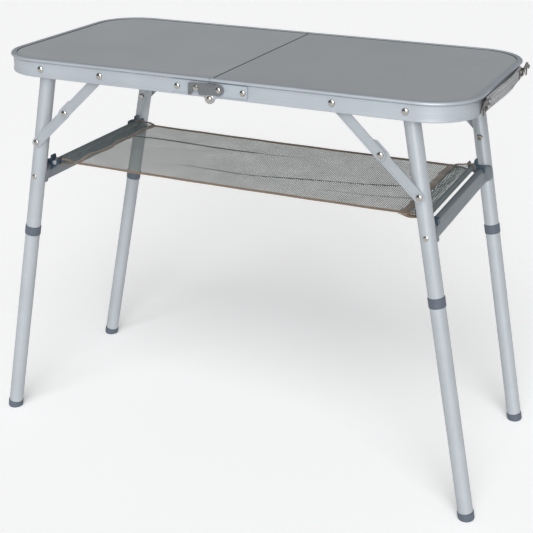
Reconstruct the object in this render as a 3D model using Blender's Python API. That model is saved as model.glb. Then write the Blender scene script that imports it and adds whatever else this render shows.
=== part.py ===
"""Camp kitchen table: two hinged half tops on folding leg frames, with a mesh shelf below.

Frame: origin on the floor under the middle of the top, X along the length, Y to the back, Z up.
Side is -1 for the left half and +1 for the right. Row is -1 for the front and +1 for the back.
"""
import math

import bmesh
import bpy
from mathutils import Matrix, Vector

# Overall size
TOP_LENGTH = 0.794
TOP_DEPTH = 0.400
TOP_HEIGHT = 0.673
CORNER_RADIUS = 0.080
HALF_LENGTH = TOP_LENGTH / 2
HALF_DEPTH = TOP_DEPTH / 2
SEAM_GAP = 0.0008
CLEARANCE = 0.0003

# Rim rail, measured inwards from its outer face and down from the top surface
RAIL_HEIGHT = 0.030
WEB_INSET = 0.0036
WEB_INNER = 0.0056
LIP_WIDTH = 0.0096
LIP_HEIGHT = 0.0044
GROOVE_INSET = 0.0042
LEDGE_INSET = 0.018
LEDGE_TOP = 0.0041
LEDGE_BOTTOM = 0.0062
FOOT_LIP_TOP = 0.0262
FOOT_LIP_INSET = 0.0027
CORNER_STEPS = 16

# Panels and the bars under the seam
PANEL_TOP = 0.0018
PANEL_SEAM = 0.0022
PANEL_BOTTOM = 0.0038
PANEL_CHAMFER = 0.0004
SEAM_BAR_WIDTH = 0.012
SEAM_BAR_HEIGHT = 0.012
SEAM_BAR_START = 0.0015

# Leg frames
PIVOT_X = 0.3048
PIVOT_DROP = 0.0168
PIVOT_Z = TOP_HEIGHT - PIVOT_DROP
FOOT_X = 0.4348
LEG_Y = 0.1715
TUBE_RADIUS = 0.0125
BORE_RADIUS = 0.0110
SPIGOT_RADIUS = 0.0106
SPIGOT_LENGTH = 0.060
BORE_LENGTH = 0.064
SPLAY = math.atan2(FOOT_X - PIVOT_X, PIVOT_Z)
LEG_LENGTH = PIVOT_Z / math.cos(SPLAY)
COLLAR_Z = 0.3657
COLLAR_HEIGHT = 0.016
COLLAR_RADIUS = 0.0136
CAP_HEIGHT = 0.013
CAP_RADIUS = 0.0135
CAP_EDGE = 0.0025
PLUG_RADIUS = 0.0107
PLUG_LENGTH = 0.014
CAP_OVERHANG = 0.0016

# Crossbars, clips and shelf
CROSSBAR_Z = 0.4669
CROSSBAR_HEIGHT = 0.030
CROSSBAR_WIDTH = 0.012
SADDLE_RADIUS = 0.0128
EAR_HALF_WIDTH = 0.0136
EAR_HEIGHT_SHARE = 0.55
FLARE_START = 0.1480
FLARE_END = 0.1630
EAR_END = LEG_Y - 0.0030
ROD_RADIUS = 0.004
ROD_INBOARD = 0.0120
ROD_ABOVE_BAR = 0.0190
ROD_HALF_LENGTH = 0.1460
CLIP_Y = 0.1395
CLIP_WIDTH = 0.011
CLIP_WALL = 0.003
PRONG_TOP = 0.0310
SHELF_HALF_DEPTH = 0.133
SHELF_THICKNESS = 0.0018
SHELF_SAG = 0.002
SLEEVE_RADIUS = 0.0062

# Braces and rivets; layers are distances from the table's middle plane
BRACE_RAIL_X = 0.1946
BRACE_LEG_Z = 0.5292
BRACE_WIDTH = 0.016
STOP_REACH = 0.024
STOP_OVERLAP = 0.0024
UPPER_LINK = (0.1885, 0.1905)
LOWER_LINK = (0.1855, 0.1875)
CHANNEL_DEPTH = 0.0008
CHANNEL_BORDER = 0.0022
RIVET_SHANK = 0.0030
RIVET_HOLE = 0.0033
RIVET_HEAD = 0.0055
RIVET_DOME = 0.0026

# Centre hinges and their hooks
HINGE_DROP = 0.031
HINGE_Z = TOP_HEIGHT - HINGE_DROP
LEAF_LENGTH = 0.0625
LEAF_TOP = 0.0064
LEAF_BOTTOM = 0.0252
LEAF_RIVET_X = 0.0554
LEAF_RIVET_DROP = 0.0168
LEAF_LAYER = (0.1967, 0.1982)
LOBE_LAYER = (0.1985, 0.1999)
LOBE_RADIUS = 0.008
LOBE_BRIDGE = 0.014
WASHER_RADIUS = 0.0074
PIN_HEAD = 0.0044
HOOK_LAYER = (0.2014, 0.2030)
HOOK_PIVOT_X = 0.0163
HOOK_PIVOT_DROP = 0.0158
HOOK_STUD_X = -0.0215
HOOK_END_X = -0.0345
TAB_START_X = -0.0015
TAB_END_X = 0.0115
HOOK_HALF_HEIGHT = 0.0095
HOOK_SLOT = 0.0036
HOOK_TILT = 0.0026

# Handle strap and end hasps on the right end
STRAP_HEIGHT = 0.022
STRAP_THICKNESS = 0.0020
STRAP_END_Y = 0.110
STRAP_END_X = 0.3983
STRAP_BOW = 0.008
STRAP_RISE = 0.005
STRAP_STEPS = 28
FITTING_DROP = 0.0164
FITTING_HEIGHT = 0.0136
FITTING_INNER_Y = 0.096
FITTING_BRIDGE_Y = 0.1105
FITTING_OUTER_Y = 0.1195
FITTING_BACK = (0.3937, 0.3969)
FITTING_FRONT = (0.3996, 0.4008)
HASP_PLATE = (0.4012, 0.4028)
HASP_PIVOT_Y = 0.1150
KEEPER_Y = 0.1150

TUBE_STEPS = 20
RIVET_STEPS = 12


def clear_scene():
    for found in list(bpy.data.objects):
        bpy.data.objects.remove(found)


def solid(name, points, faces):
    """A mesh object with its faces turned outwards."""
    mesh = bpy.data.meshes.new(name)
    mesh.from_pydata([tuple(point) for point in points], [], faces)
    work = bmesh.new()
    work.from_mesh(mesh)
    bmesh.ops.recalc_face_normals(work, faces=work.faces)
    work.to_mesh(mesh)
    work.free()
    made = bpy.data.objects.new(name, mesh)
    bpy.context.scene.collection.objects.link(made)
    return made


def combine(target, tool, operation):
    """Target with tool added to it or cut from it; tool is used up."""
    step = target.modifiers.new(operation, "BOOLEAN")
    step.operation = operation
    step.solver = "EXACT"
    step.object = tool
    graph = bpy.context.evaluated_depsgraph_get()
    result = bpy.data.meshes.new_from_object(target.evaluated_get(graph))
    target.modifiers.clear()
    target.data = result
    bpy.data.objects.remove(tool)
    return target


def cut(target, tool):
    return combine(target, tool, "DIFFERENCE")


def join(target, tool):
    return combine(target, tool, "UNION")


def lathe(name, profile, place, steps):
    """A solid turned about Z from (radius, height) pairs, then moved by place."""
    points, rings, faces = [], [], []
    for radius, height in profile:
        first = len(points)
        if radius == 0:
            points.append(Vector((0, 0, height)))
            rings.append([first] * steps)
            continue
        for i in range(steps):
            angle = math.tau * (i + 0.5) / steps
            points.append(Vector((radius * math.cos(angle), radius * math.sin(angle), height)))
        rings.append(list(range(first, first + steps)))
    for low, high in zip(rings, rings[1:] + rings[:1]):
        for i in range(steps):
            j = (i + 1) % steps
            corners = list(dict.fromkeys((low[i], low[j], high[j], high[i])))
            if len(corners) > 2:
                faces.append(corners)
    return solid(name, [place @ point for point in points], faces)


def prism(name, outline, lift, low, high):
    """A flat outline drawn out from low to high; lift turns (u, v, depth) into a point."""
    count = len(outline)
    points = [lift(u, v, low) for u, v in outline] + [lift(u, v, high) for u, v in outline]
    faces = [list(range(count))[::-1], list(range(count, 2 * count))]
    for i in range(count):
        j = (i + 1) % count
        faces.append([i, j, count + j, count + i])
    return solid(name, points, faces)


def along_y(u, v, depth):
    return Vector((u, depth, v))


def along_x(u, v, depth):
    return Vector((depth, u, v))


def along_z(u, v, depth):
    return Vector((u, v, depth))


def box(name, low, high):
    outline = [(low[0], low[1]), (high[0], low[1]), (high[0], high[1]), (low[0], high[1])]
    return prism(name, outline, along_z, low[2], high[2])


def arc(centre, radius, start, end, steps):
    """Points on a circle from one angle to another, in degrees."""
    made = []
    for i in range(steps + 1):
        angle = math.radians(start + (end - start) * i / steps)
        made.append((centre[0] + radius * math.cos(angle), centre[1] + radius * math.sin(angle)))
    return made


def outward(row):
    """Turns a lathe's Z axis to point out of the front or back of the table."""
    return Matrix.Rotation(-row * math.pi / 2, 4, "X")


def at_rivet(x, z, row, start=0.0):
    return Matrix.Translation((x, row * start, z)) @ outward(row)


def dome(name, place, radius, height, sink, steps=RIVET_STEPS):
    """A domed head that stands height above the lathe's origin and reaches sink below it."""
    profile = [(0, -sink), (radius, -sink), (radius, 0.15 * height)]
    profile += [(radius * 0.86, 0.58 * height), (radius * 0.5, 0.9 * height), (0, height)]
    return lathe(name, profile, place, steps)


def hole(x, z, radius, low, high, steps=RIVET_STEPS):
    """A round cutter along Y."""
    profile = [(0, low), (radius, low), (radius, high), (0, high)]
    return lathe("hole", profile, at_rivet(x, z, 1), steps)


# Top halves

def edge_path(side, inset, gap=SEAM_GAP):
    """A half's outline in plan, from the front end of the seam round to the back end."""
    middle_x = HALF_LENGTH - CORNER_RADIUS
    middle_y = HALF_DEPTH - CORNER_RADIUS
    radius = CORNER_RADIUS - inset
    front = arc((middle_x, -middle_y), radius, -90, 0, CORNER_STEPS)
    back = arc((middle_x, middle_y), radius, 0, 90, CORNER_STEPS)
    start = [(gap / 2, -HALF_DEPTH + inset)]
    finish = [(gap / 2, HALF_DEPTH - inset)]
    return [(side * x, y) for x, y in start + front + back + finish]


def rail_profile():
    """(inset, drop) pairs round the rail's section."""
    return [
        (0.0034, 0.0),
        (0.0018, 0.0004),
        (0.0007, 0.0013),
        (0.0001, 0.0026),
        (0.0, LIP_HEIGHT - 0.0006),
        (0.0006, LIP_HEIGHT),
        (GROOVE_INSET, LIP_HEIGHT + 0.0002),
        (GROOVE_INSET, LIP_HEIGHT + 0.0012),
        (WEB_INSET, LIP_HEIGHT + 0.0018),
        (WEB_INSET, FOOT_LIP_TOP - 0.0016),
        (FOOT_LIP_INSET, FOOT_LIP_TOP + 0.0008),
        (FOOT_LIP_INSET, RAIL_HEIGHT - 0.0008),
        (FOOT_LIP_INSET + 0.0008, RAIL_HEIGHT),
        (WEB_INNER, RAIL_HEIGHT),
        (WEB_INNER, LEDGE_BOTTOM),
        (LEDGE_INSET, LEDGE_BOTTOM),
        (LEDGE_INSET, LEDGE_TOP),
        (LIP_WIDTH, LEDGE_TOP),
        (LIP_WIDTH, 0.0008),
        (LIP_WIDTH - 0.0008, 0.0),
    ]


def rail(name, side):
    profile = rail_profile()
    stations = [edge_path(side, inset) for inset, _ in profile]
    count = len(stations[0])
    size = len(profile)
    points = []
    for station in range(count):
        for line, (_, drop) in zip(stations, profile):
            points.append(Vector((*line[station], TOP_HEIGHT - drop)))
    faces = [list(range(size)), [(count - 1) * size + i for i in range(size)]]
    for station in range(count - 1):
        for i in range(size):
            j = (i + 1) % size
            base = station * size
            faces.append([base + i, base + j, base + size + j, base + size + i])
    made = solid(name, points, faces)
    reach = HALF_DEPTH + 0.01
    cut(made, hole(side * PIVOT_X, PIVOT_Z, RIVET_HOLE, -reach, reach))
    cut(made, hole(side * BRACE_RAIL_X, PIVOT_Z, RIVET_HOLE, -reach, reach))
    cut(made, hole(0, HINGE_Z, LOBE_RADIUS + 0.0012, -reach, reach, TUBE_STEPS))
    for row in (-1, 1):
        outer, inner = row * reach, row * (HALF_DEPTH - WEB_INSET + 0.00005)
        low = (-LEAF_LENGTH - 0.0005, min(outer, inner), HINGE_Z - 0.002)
        high = (LEAF_LENGTH + 0.0005, max(outer, inner), TOP_HEIGHT - LEAF_BOTTOM + CLEARANCE)
        cut(made, box("lip_gap", low, high))
    if side < 0:
        add_keepers(made)
    return made


def add_keepers(made):
    """Studs on the left end for the hasps of the folded table."""
    for row in (-1, 1):
        turn = Matrix.Rotation(-math.pi / 2, 4, "Y")
        place = Matrix.Translation((-HALF_LENGTH + WEB_INSET, row * KEEPER_Y, PIVOT_Z)) @ turn
        stem, head, neck = 0.0024, 0.0042, 0.0052
        profile = [(0, -0.001), (stem, -0.001), (stem, neck), (head, neck), (head, neck + 0.0008)]
        profile += [(head * 0.6, neck + 0.0018), (0, neck + 0.0021)]
        join(made, lathe("keeper", profile, place, RIVET_STEPS))


def panel(name, side):
    inset = LIP_WIDTH + CLEARANCE
    outlines = []
    for shrink, drop in ((0, PANEL_BOTTOM), (0, PANEL_TOP + PANEL_CHAMFER), (PANEL_CHAMFER, PANEL_TOP)):
        line = edge_path(side, inset + shrink, PANEL_SEAM)
        outlines.append([(x, y, TOP_HEIGHT - drop) for x, y in line])
    count = len(outlines[0])
    points = [point for line in outlines for point in line]
    faces = [list(range(count)), list(range(2 * count, 3 * count))]
    for level in range(2):
        for i in range(count):
            j = (i + 1) % count
            base = level * count
            faces.append([base + i, base + j, base + count + j, base + count + i])
    return solid(name, points, faces)


def seam_bar(name, side):
    near, far = side * SEAM_BAR_START, side * (SEAM_BAR_START + SEAM_BAR_WIDTH)
    half = HALF_DEPTH - LEDGE_INSET - CLEARANCE
    top = TOP_HEIGHT - PANEL_BOTTOM - CLEARANCE
    low = (min(near, far), -half, top - SEAM_BAR_HEIGHT)
    return box(name, low, (max(near, far), half, top))


# Leg frames

def leg_place(side, row):
    """From a leg's own frame, pivot at the origin and leg down -Z, to the table's."""
    turn = Matrix.Rotation(-side * SPLAY, 4, "Y")
    return Matrix.Translation((side * PIVOT_X, row * LEG_Y, PIVOT_Z)) @ turn


def down_leg(z):
    """How far down the leg from its pivot a height lies."""
    return (PIVOT_Z - z) / math.cos(SPLAY)


def leg_point(side, z):
    return side * (PIVOT_X + (PIVOT_Z - z) * math.tan(SPLAY))


def leg_upper(name, side, row):
    end = -down_leg(COLLAR_Z) + COLLAR_HEIGHT / 2 + CLEARANCE
    profile = [(0, TUBE_RADIUS)]
    for angle in (65, 45, 25, 0):
        turned = math.radians(angle)
        profile.append((TUBE_RADIUS * math.cos(turned), TUBE_RADIUS * math.sin(turned)))
    profile += [(TUBE_RADIUS, end), (BORE_RADIUS, end), (BORE_RADIUS, end + BORE_LENGTH), (0, end + BORE_LENGTH)]
    made = lathe(name, profile, leg_place(side, row), TUBE_STEPS)
    low, high = LEG_Y - 0.02, LEG_Y + 0.02
    if row < 0:
        low, high = -high, -low
    cut(made, hole(side * PIVOT_X, PIVOT_Z, RIVET_HOLE, low, high))
    cut(made, hole(leg_point(side, BRACE_LEG_Z), BRACE_LEG_Z, RIVET_HOLE, low, high))
    place = at_rivet(leg_point(side, CROSSBAR_Z), CROSSBAR_Z, row, LEG_Y + TUBE_RADIUS)
    return join(made, dome("bar_rivet", place, 0.0045, 0.0012, 0.003))


def leg_collar(name, side, row):
    middle, half, edge = -down_leg(COLLAR_Z), COLLAR_HEIGHT / 2, 0.0006
    inner = BORE_RADIUS - 0.0001
    profile = [
        (inner, middle - half),
        (COLLAR_RADIUS - edge, middle - half),
        (COLLAR_RADIUS, middle - half + edge),
        (COLLAR_RADIUS, middle + half - edge),
        (COLLAR_RADIUS - edge, middle + half),
        (inner, middle + half),
    ]
    return lathe(name, profile, leg_place(side, row), TUBE_STEPS)


def leg_lower(name, side, row):
    top = -down_leg(COLLAR_Z) - COLLAR_HEIGHT / 2 - CLEARANCE
    bottom = -LEG_LENGTH + CAP_HEIGHT + CLEARANCE
    bore = bottom + 2 * PLUG_LENGTH
    profile = [
        (0, top + SPIGOT_LENGTH),
        (SPIGOT_RADIUS - 0.001, top + SPIGOT_LENGTH),
        (SPIGOT_RADIUS, top + SPIGOT_LENGTH - 0.001),
        (SPIGOT_RADIUS, top),
        (TUBE_RADIUS, top),
        (TUBE_RADIUS, bottom),
        (BORE_RADIUS, bottom),
        (BORE_RADIUS, bore),
        (0, bore),
    ]
    return lathe(name, profile, leg_place(side, row), TUBE_STEPS)


def foot_cap(name, side, row):
    top = -LEG_LENGTH + CAP_HEIGHT
    bottom = -LEG_LENGTH - CAP_OVERHANG
    profile = [
        (0, top + PLUG_LENGTH),
        (PLUG_RADIUS, top + PLUG_LENGTH),
        (PLUG_RADIUS, top),
        (CAP_RADIUS - 0.0006, top),
        (CAP_RADIUS, top - 0.0006),
        (CAP_RADIUS, bottom + CAP_EDGE),
        (CAP_RADIUS - 0.3 * CAP_EDGE, bottom + 0.3 * CAP_EDGE),
        (CAP_RADIUS - CAP_EDGE, bottom),
        (0, bottom),
    ]
    made = lathe(name, profile, leg_place(side, row), TUBE_STEPS)
    reach = 0.05
    x, y = side * FOOT_X, row * LEG_Y
    return cut(made, box("floor", (x - reach, y - reach, -reach), (x + reach, y + reach, 0)))


def bar_frame(side):
    """From (inboard, up, y) at the crossbar's middle to the table's frame."""
    centre = Vector((leg_point(side, CROSSBAR_Z), 0, CROSSBAR_Z))
    inboard = Vector((-side * math.cos(SPLAY), 0, -math.sin(SPLAY)))
    up = Vector((-side * math.sin(SPLAY), 0, math.cos(SPLAY)))

    def lift(u, v, depth):
        point = centre + inboard * u + up * v
        point.y = depth
        return point

    return lift


def stadium(half_width, half_height, steps):
    """An upright outline with round ends."""
    straight = half_height - half_width
    top = arc((0, straight), half_width, 0, 180, steps)
    bottom = arc((0, -straight), half_width, 180, 360, steps)
    return top + bottom


def smooth_step(value, start, end):
    share = min(1.0, max(0.0, (value - start) / (end - start)))
    return share * share * (3 - 2 * share)


def flared_bar(name, side, grow=0.0):
    """The crossbar before the legs are cut out: its ends widen into ears and grow shorter."""
    outline = stadium(CROSSBAR_WIDTH / 2, CROSSBAR_HEIGHT / 2, 8)
    half = [0.0, FLARE_START] + [FLARE_START + (EAR_END - FLARE_START) * i / 10 for i in range(1, 11)]
    stations = [-depth for depth in half[:0:-1]] + half
    lift = bar_frame(side)
    points = []
    for depth in stations:
        flare = smooth_step(abs(depth), FLARE_START, FLARE_END)
        width = CROSSBAR_WIDTH / 2 + (EAR_HALF_WIDTH - CROSSBAR_WIDTH / 2) * flare
        past = max(0.0, (abs(depth) - FLARE_END) / (EAR_END - FLARE_END))
        height = CROSSBAR_HEIGHT / 2 * (1 - (1 - EAR_HEIGHT_SHARE) * past * past)
        wide = (width + grow) / (CROSSBAR_WIDTH / 2)
        tall = (height + grow) / (CROSSBAR_HEIGHT / 2)
        points += [lift(u * wide, v * tall, depth) for u, v in outline]
    count = len(outline)
    last = (len(stations) - 1) * count
    faces = [list(range(count)), list(range(last, last + count))]
    for first in range(0, last, count):
        for i in range(count):
            j = (i + 1) % count
            faces.append([first + i, first + j, first + count + j, first + count + i])
    return solid(name, points, faces)


def crossbar(name, side):
    made = flared_bar(name, side)
    for row in (-1, 1):
        low, high = -down_leg(CROSSBAR_Z) - 0.05, -down_leg(CROSSBAR_Z) + 0.05
        profile = [(0, low), (SADDLE_RADIUS, low), (SADDLE_RADIUS, high), (0, high)]
        cut(made, lathe("saddle", profile, leg_place(side, row), TUBE_STEPS))
    return made


def shelf_clip(name, side, row):
    """A saddle on the crossbar with two prongs that the rod drops between."""
    half, tall = CROSSBAR_WIDTH / 2, CROSSBAR_HEIGHT / 2
    room = ROD_RADIUS + CLEARANCE
    seat = room + CLIP_WALL * 0.75
    near, far = ROD_INBOARD - room, ROD_INBOARD + room
    outline = [(-half - CLIP_WALL, tall - 0.007), (-half - CLIP_WALL, tall + 0.001), (-half, tall + CLIP_WALL)]
    outline += [(near - CLIP_WALL * 1.5, ROD_ABOVE_BAR + 0.001), (near - CLIP_WALL * 1.5, PRONG_TOP - 0.001)]
    outline += [(near - CLIP_WALL * 0.5, PRONG_TOP), (near + 0.0006, ROD_ABOVE_BAR + room + 0.001)]
    outline += arc((ROD_INBOARD, ROD_ABOVE_BAR), room, 165, 375, 12)
    outline += [(far - 0.0006, ROD_ABOVE_BAR + room + 0.001), (far + CLIP_WALL * 0.4, PRONG_TOP - 0.003)]
    outline += [(far + CLIP_WALL, PRONG_TOP - 0.004), (far + CLIP_WALL, ROD_ABOVE_BAR)]
    outline += arc((ROD_INBOARD, ROD_ABOVE_BAR), seat, -15, -60, 3)
    outline += [(half + CLIP_WALL + 0.001, tall - 0.006), (half + CLIP_WALL - 0.002, tall - 0.011)]
    outline += [(0, tall - 0.011)]
    low = row * CLIP_Y - CLIP_WIDTH / 2
    high = row * CLIP_Y + CLIP_WIDTH / 2
    made = prism(name, outline, bar_frame(side), low, high)
    return cut(made, flared_bar("bar_room", side, CLEARANCE))


def rod_centre(side):
    return bar_frame(side)(ROD_INBOARD, ROD_ABOVE_BAR, 0)


def shelf_rod(name, side):
    centre = rod_centre(side)
    profile = [
        (0, -ROD_HALF_LENGTH),
        (ROD_RADIUS - 0.0008, -ROD_HALF_LENGTH),
        (ROD_RADIUS, -ROD_HALF_LENGTH + 0.0008),
        (ROD_RADIUS, ROD_HALF_LENGTH - 0.0008),
        (ROD_RADIUS - 0.0008, ROD_HALF_LENGTH),
        (0, ROD_HALF_LENGTH),
    ]
    return lathe(name, profile, at_rivet(centre.x, centre.z, 1), RIVET_STEPS)


def shelf(name):
    """The hanging mesh with a sleeve round the rod at each end."""
    end = rod_centre(1)
    count = 12
    reach = end.x - SLEEVE_RADIUS * 0.7
    level = end.z + SHELF_THICKNESS / 2
    upper, lower = [], []
    for i in range(count + 1):
        along = -1 + 2 * i / count
        x = reach * along
        z = level - SHELF_SAG * (1 - along * along)
        upper.append((x, z))
        lower.append((x, z - SHELF_THICKNESS))
    made = prism(name, lower + upper[::-1], along_y, -SHELF_HALF_DEPTH, SHELF_HALF_DEPTH)
    for side in (-1, 1):
        sleeve = arc((side * end.x, end.z), SLEEVE_RADIUS, 0, 345, 23)
        join(made, prism("sleeve", sleeve, along_y, -SHELF_HALF_DEPTH, SHELF_HALF_DEPTH))
    for side in (-1, 1):
        room = hole(side * end.x, end.z, ROD_RADIUS + CLEARANCE, -0.2, 0.2)
        cut(made, room)
    return made


# Braces and rivets

def knee_point(side):
    """Where the links meet, so that they fold flat when the leg lies along the rail."""
    rail_end = Vector((side * BRACE_RAIL_X, PIVOT_Z))
    leg_end = Vector((leg_point(side, BRACE_LEG_Z), BRACE_LEG_Z))
    span = (leg_end - rail_end).length
    folded = PIVOT_X - down_leg(BRACE_LEG_Z) - BRACE_RAIL_X
    upper = (span + abs(folded)) / 2
    return rail_end + (leg_end - rail_end) * upper / span


def link(name, start, end, layer, row):
    """A flat link with round ends and a shallow channel pressed into its outer face."""
    def outline(radius):
        angle = math.degrees(math.atan2(end.y - start.y, end.x - start.x))
        far = arc(end, radius, angle - 90, angle + 90, 8)
        near = arc(start, radius, angle + 90, angle + 270, 8)
        return far + near

    low, high = sorted((row * layer[0], row * layer[1]))
    made = prism(name, outline(BRACE_WIDTH / 2), along_y, low, high)
    pressed = sorted((row * (layer[1] - CHANNEL_DEPTH), row * (layer[1] + 0.001)))
    along = (end - start).normalized() * BRACE_WIDTH * 0.62
    start, end = start + along, end - along
    return cut(made, prism("channel", outline(BRACE_WIDTH / 2 - CHANNEL_BORDER), along_y, *pressed))


def brace_upper(name, side, row):
    start, end = Vector((side * BRACE_RAIL_X, PIVOT_Z)), knee_point(side)
    made = link(name, start, end, UPPER_LINK, row)
    low, high = sorted((row * (UPPER_LINK[0] - 0.003), row * (UPPER_LINK[1] + 0.003)))
    cut(made, hole(start.x, start.y, RIVET_HOLE, low, high))
    place = at_rivet(end.x, end.y, row, UPPER_LINK[1])
    return join(made, dome("knee_rivet", place, RIVET_HEAD, RIVET_DOME, 0.001))


def brace_stop(side, row, start, end):
    """A wing on the lower link that runs past the knee and stands proud of the upper link's outer edge."""
    along = (start - end).normalized()
    across = Vector((-along.y, along.x)) * side * -1
    edge = BRACE_WIDTH / 2
    places = ((-0.016, edge - 0.001), (-0.004, edge + STOP_OVERLAP), (STOP_REACH - 0.005, edge + STOP_OVERLAP),
              (STOP_REACH, edge - 0.001), (STOP_REACH, edge - 0.005), (0.0, 0.0), (-0.016, 0.0))
    outline = [start + along * far + across * out for far, out in places]
    low, high = sorted((row * LOWER_LINK[0], row * LOWER_LINK[1]))
    return prism("stop", [(point.x, point.y) for point in outline], along_y, low, high)


def brace_lower(name, side, row):
    start = knee_point(side)
    end = Vector((leg_point(side, BRACE_LEG_Z), BRACE_LEG_Z))
    made = link(name, start, end, LOWER_LINK, row)
    join(made, brace_stop(side, row, start, end))
    place = at_rivet(end.x, end.y, row, LOWER_LINK[1])
    join(made, dome("leg_rivet", place, RIVET_HEAD, RIVET_DOME, 0.001))
    inner = LEG_Y - TUBE_RADIUS - CLEARANCE
    profile = [
        (0, inner - RIVET_DOME),
        (RIVET_HEAD * 0.7, inner - 0.7 * RIVET_DOME),
        (RIVET_HEAD, inner),
        (RIVET_SHANK, inner),
        (RIVET_SHANK, LOWER_LINK[1]),
        (0, LOWER_LINK[1]),
    ]
    return join(made, lathe("shank", profile, at_rivet(end.x, end.y, row), RIVET_STEPS))


def through_rivet(name, x, row, inner, waist):
    """A rivet through the rail's web: outer dome, shank, spacer between waist, inner head."""
    web_out, web_in = HALF_DEPTH - WEB_INSET, HALF_DEPTH - WEB_INNER
    outer = web_out + 0.0001
    spacer = 0.0055
    profile = [
        (0, inner),
        (RIVET_HEAD * 0.8, inner + 0.0004),
        (RIVET_HEAD, inner + 0.0016),
        (RIVET_SHANK, inner + 0.0016),
        (RIVET_SHANK, waist),
        (spacer, waist),
        (spacer, web_in - CLEARANCE),
        (RIVET_SHANK, web_in - CLEARANCE),
        (RIVET_SHANK, outer),
        (RIVET_HEAD, outer),
        (RIVET_HEAD, outer + 0.0004),
        (RIVET_HEAD * 0.86, outer + 0.58 * RIVET_DOME),
        (RIVET_HEAD * 0.5, outer + 0.9 * RIVET_DOME),
        (0, outer + RIVET_DOME),
    ]
    return lathe(name, profile, at_rivet(x, PIVOT_Z, row), RIVET_STEPS)


def leg_pivot_rivet(name, side, row):
    inner = LEG_Y - TUBE_RADIUS - CLEARANCE - 0.0016
    return through_rivet(name, side * PIVOT_X, row, inner, LEG_Y + TUBE_RADIUS + CLEARANCE)


def brace_rail_rivet(name, side, row):
    inner = UPPER_LINK[0] - CLEARANCE - 0.0016
    return through_rivet(name, side * BRACE_RAIL_X, row, inner, UPPER_LINK[1] + CLEARANCE)


# Centre hinges

def leaf_outline(side, reach, low_drop):
    """The leaf's plate and the tongue that carries it down to the pin."""
    near, top = side * SEAM_GAP / 2, TOP_HEIGHT - LEAF_TOP
    bottom, low = TOP_HEIGHT - LEAF_BOTTOM, TOP_HEIGHT - low_drop
    bridge = side * LOBE_BRIDGE
    far = side * reach
    return [(near, top), (far, top), (far, bottom), (bridge, bottom), (bridge - side * 0.004, low), (near, low)]


def hinge_leaf(name, side, row):
    layer = LEAF_LAYER if side < 0 else (LEAF_LAYER[0], LOBE_LAYER[1])
    lobe = LEAF_LAYER if side < 0 else LOBE_LAYER
    low, high = sorted((row * layer[0], row * layer[1]))
    made = prism(name, leaf_outline(side, LEAF_LENGTH, HINGE_DROP), along_y, low, high)
    if side > 0:
        room_low, room_high = sorted((row * (LEAF_LAYER[0] - 0.001), row * (LEAF_LAYER[1] + 0.0002)))
        cut(made, hole(0, HINGE_Z, LOBE_RADIUS + 0.0004, room_low, room_high, TUBE_STEPS))
    lobe_low, lobe_high = sorted((row * lobe[0], row * lobe[1]))
    join(made, hole(0, HINGE_Z, LOBE_RADIUS, lobe_low, lobe_high, TUBE_STEPS))
    head = at_rivet(side * LEAF_RIVET_X, TOP_HEIGHT - LEAF_RIVET_DROP, row, layer[1])
    join(made, dome("leaf_rivet", head, RIVET_HEAD * 0.9, RIVET_DOME, 0.001))
    reach = sorted((row * (layer[0] - 0.003), row * (layer[1] + 0.003)))
    if side > 0:
        cut(made, hole(HOOK_PIVOT_X, TOP_HEIGHT - HOOK_PIVOT_DROP, 0.0027, *reach))
    else:
        join(made, hook_stud(row, layer[1]))
    return cut(made, hole(0, HINGE_Z, RIVET_HOLE, *reach, TUBE_STEPS))


def hook_stud(row, base):
    """A headed stud on the left leaf for the hook's slot."""
    neck, start, head = 0.0027, HOOK_LAYER[1] + CLEARANCE, RIVET_HEAD * 0.85
    profile = [
        (0, base - 0.001),
        (neck, base - 0.001),
        (neck, start),
        (head, start),
        (head, start + 0.0004),
        (head * 0.8, start + 0.0014),
        (0, start + 0.0022),
    ]
    return lathe("stud", profile, at_rivet(HOOK_STUD_X, TOP_HEIGHT - HOOK_PIVOT_DROP, row), RIVET_STEPS)


def hinge_pin(name, row):
    inner, outer = HALF_DEPTH - WEB_INNER - 0.0024, LOBE_LAYER[1] + 0.0001
    washer_in = HALF_DEPTH - WEB_INNER - 0.0010
    profile = [
        (0, inner),
        (RIVET_HEAD, inner),
        (RIVET_HEAD, washer_in),
        (RIVET_SHANK, washer_in),
        (RIVET_SHANK, outer),
        (WASHER_RADIUS, outer),
        (WASHER_RADIUS, outer + 0.0006),
        (WASHER_RADIUS - 0.0006, outer + 0.0010),
        (PIN_HEAD, outer + 0.0010),
        (PIN_HEAD * 0.9, outer + 0.0021),
        (PIN_HEAD * 0.55, outer + 0.0031),
        (0, outer + 0.0035),
    ]
    return lathe(name, profile, at_rivet(0, HINGE_Z, row), TUBE_STEPS)


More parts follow.
